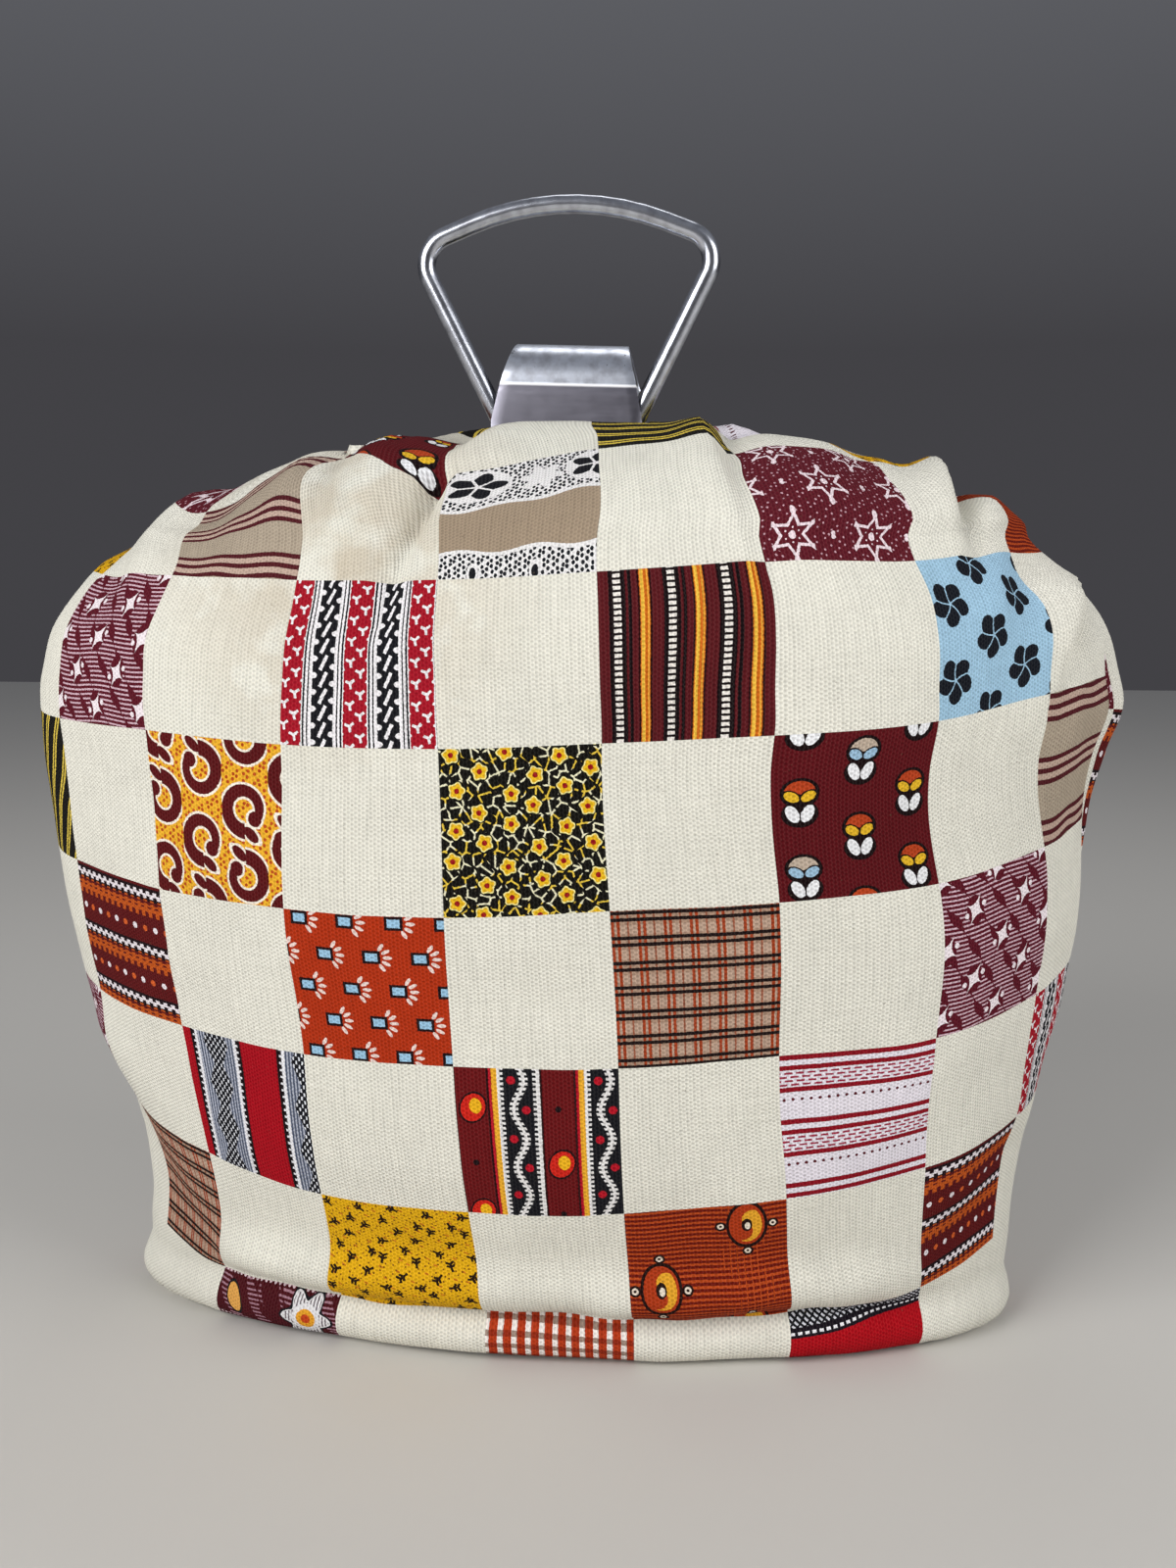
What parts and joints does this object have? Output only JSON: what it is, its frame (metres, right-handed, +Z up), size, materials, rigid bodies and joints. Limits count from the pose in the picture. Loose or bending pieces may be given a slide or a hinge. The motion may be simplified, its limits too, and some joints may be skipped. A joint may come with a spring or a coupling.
{
  "type": "tea cosy",
  "caption": "Padded printed-canvas tea cosy, a dome of front and back halves with a steel clip and wire handle at the top.",
  "frame": {"origin": "middle of the hem on the surface that the cosy stands on", "axes": "+X to the object's right seen from the front, -Y towards the front, +Z up"},
  "size_m": [0.3321, 0.159, 0.344],
  "materials": {
    "printed_canvas": "cream unbleached canvas printed with a checkerboard of small coloured patches, matt",
    "satin_steel": "satin sheet steel with fine scratches",
    "polished_wire": "smooth round steel wire, a little dulled by use"
  },
  "bodies": {
    "root": {"panel_front": "printed_canvas", "panel_back": "printed_canvas", "steel_clip": "satin_steel", "wire_handle": "polished_wire"}
  },
  "joints": []
}
